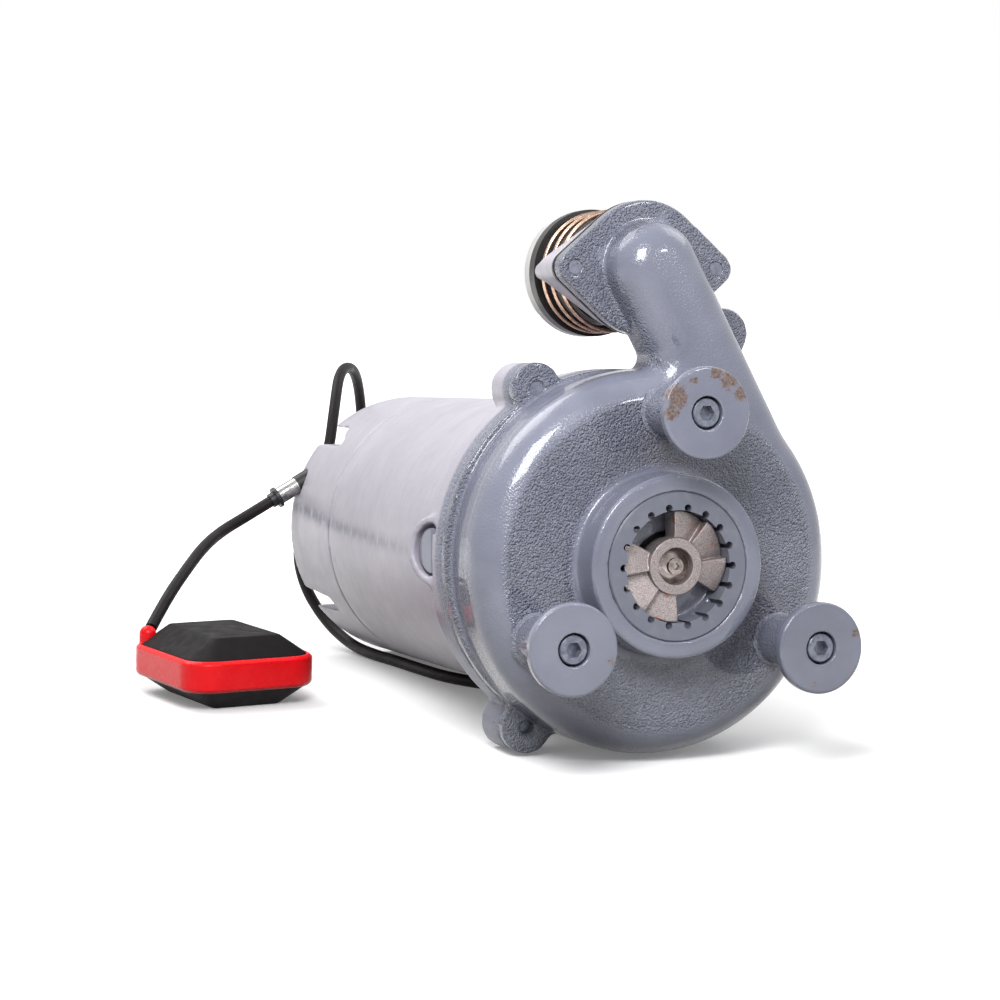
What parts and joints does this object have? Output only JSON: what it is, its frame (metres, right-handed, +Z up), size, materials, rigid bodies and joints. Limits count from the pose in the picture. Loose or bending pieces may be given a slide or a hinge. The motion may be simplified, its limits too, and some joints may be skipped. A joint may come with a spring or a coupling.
{
  "type": "submersible grinder pump",
  "caption": "Submersible grinder pump on its side: painted volute with feet and rotary cutter, sprung discharge coupling, motor, cords and tilting float switch",
  "frame": {"origin": "on the floor, below the middle of the pump without its cords and float switch; the pump lies on its side", "axes": "+Z up; +Y along the pump on the floor, from the feet and cutter towards the rear of the motor; +X to the right seen from the cutter"},
  "size_m": [0.4436, 0.6346, 0.3199],
  "materials": {
    "paint": "glossy blue-grey paint over rough iron castings",
    "cutter_steel": "bare cast steel with rust specks",
    "ring_steel": "hard steel ring, grey with paint on its face",
    "bright_steel": "plain machined steel",
    "screw_steel": "dark steel screws with worn paint",
    "iron": "unpainted cast iron inside the pump",
    "rotor_lamination": "stacked electrical steel",
    "rotor_cast": "cast aluminium cage rings",
    "copper": "enamelled copper windings",
    "copper_spring": "copper-coloured spring wire, slightly dull",
    "black_rubber": "matt black rubber",
    "cord_black": "black rubber-sheathed cord",
    "cage_black": "black moulded plastic",
    "white_plastic": "off-white moulded plastic",
    "seal_face": "lapped hard seal faces",
    "float_black": "matt black moulded plastic, finely grained",
    "float_red": "glossy red moulded plastic",
    "ferrule_metal": "shiny plated metal ferrule",
    "pin_brass": "bright plug pins"
  },
  "bodies": {
    "pump": {"bearing_bracket": "iron", "bearing_outer_rings": "bright_steel", "bearing_washer": "bright_steel", "casing_bolts": "screw_steel", "casing_seal": "black_rubber", "coupling_cage": "paint", "coupling_gasket": "black_rubber", "coupling_spigot": "bright_steel", "coupling_spring": "copper_spring", "coupling_studs": "screw_steel", "cover_screws": "bright_steel", "float_cord": "cord_black", "float_cord_boot": "black_rubber", "float_ferrule": "ferrule_metal", "float_grommet": "black_rubber", "foot_pad_left": "paint", "foot_pad_right": "paint", "foot_pad_top": "paint", "foot_screws": "screw_steel", "motor_capacitor": "white_plastic", "motor_cover": "paint", "motor_housing": "paint", "oil_lip_seal": "black_rubber", "oil_plug": "paint", "plug_pins": "pin_brass", "power_cord": "cord_black", "power_cord_coil": "cord_black", "power_cord_tail": "cord_black", "power_gland_nut": "cage_black", "power_plug": "cage_black", "power_strain_relief": "black_rubber", "seal_plate": "iron", "seal_plate_screws": "bright_steel", "seal_seat": "seal_face", "shredding_ring": "ring_steel", "stator_core": "rotor_lamination", "stator_windings": "copper", "terminal_block": "cage_black", "volute_casing": "paint"},
    "rotor": {"pump_shaft": "bright_steel", "rotary_cutter": "cutter_steel", "cutter_washer": "bright_steel", "cutter_screw": "bright_steel", "impeller": "iron", "impeller_key": "bright_steel", "seal_head": "seal_face", "seal_spring": "bright_steel", "seal_collar": "bright_steel", "rotor_core": "rotor_lamination", "rotor_end_rings": "rotor_cast", "bearing_inner_rings": "bright_steel", "bearing_balls": "bright_steel"},
    "coupling_slider": {"coupling_sleeve": "black_rubber", "coupling_ring": "white_plastic"},
    "float": {"float_band": "float_red", "float_shell_top": "float_black", "float_shell_bottom": "float_black", "float_switch": "cage_black", "float_ball": "bright_steel"}
  },
  "joints": [
    {"name": "rotor_spin", "type": "hinge", "parent": "pump", "child": "rotor", "pos_m": [0, -0.04536, 0.1067], "axis": [0, 0.9986, -0.0536], "continuous": true},
    {"name": "coupling_slide", "type": "slide", "parent": "pump", "child": "coupling_slider", "axis": [0, -0.9986, 0.0536], "range_m": [0, 0.008], "stiffness_N_per_m": 450, "springref_m": -0.027, "deforming": ["coupling_spring"]},
    {"name": "float_tilt", "type": "hinge", "parent": "pump", "child": "float", "pos_m": [-0.22278, 0.11733, 0.0375], "axis": [-0.6462, -0.7632, 0], "range_deg": [0, 30]}
  ]
}
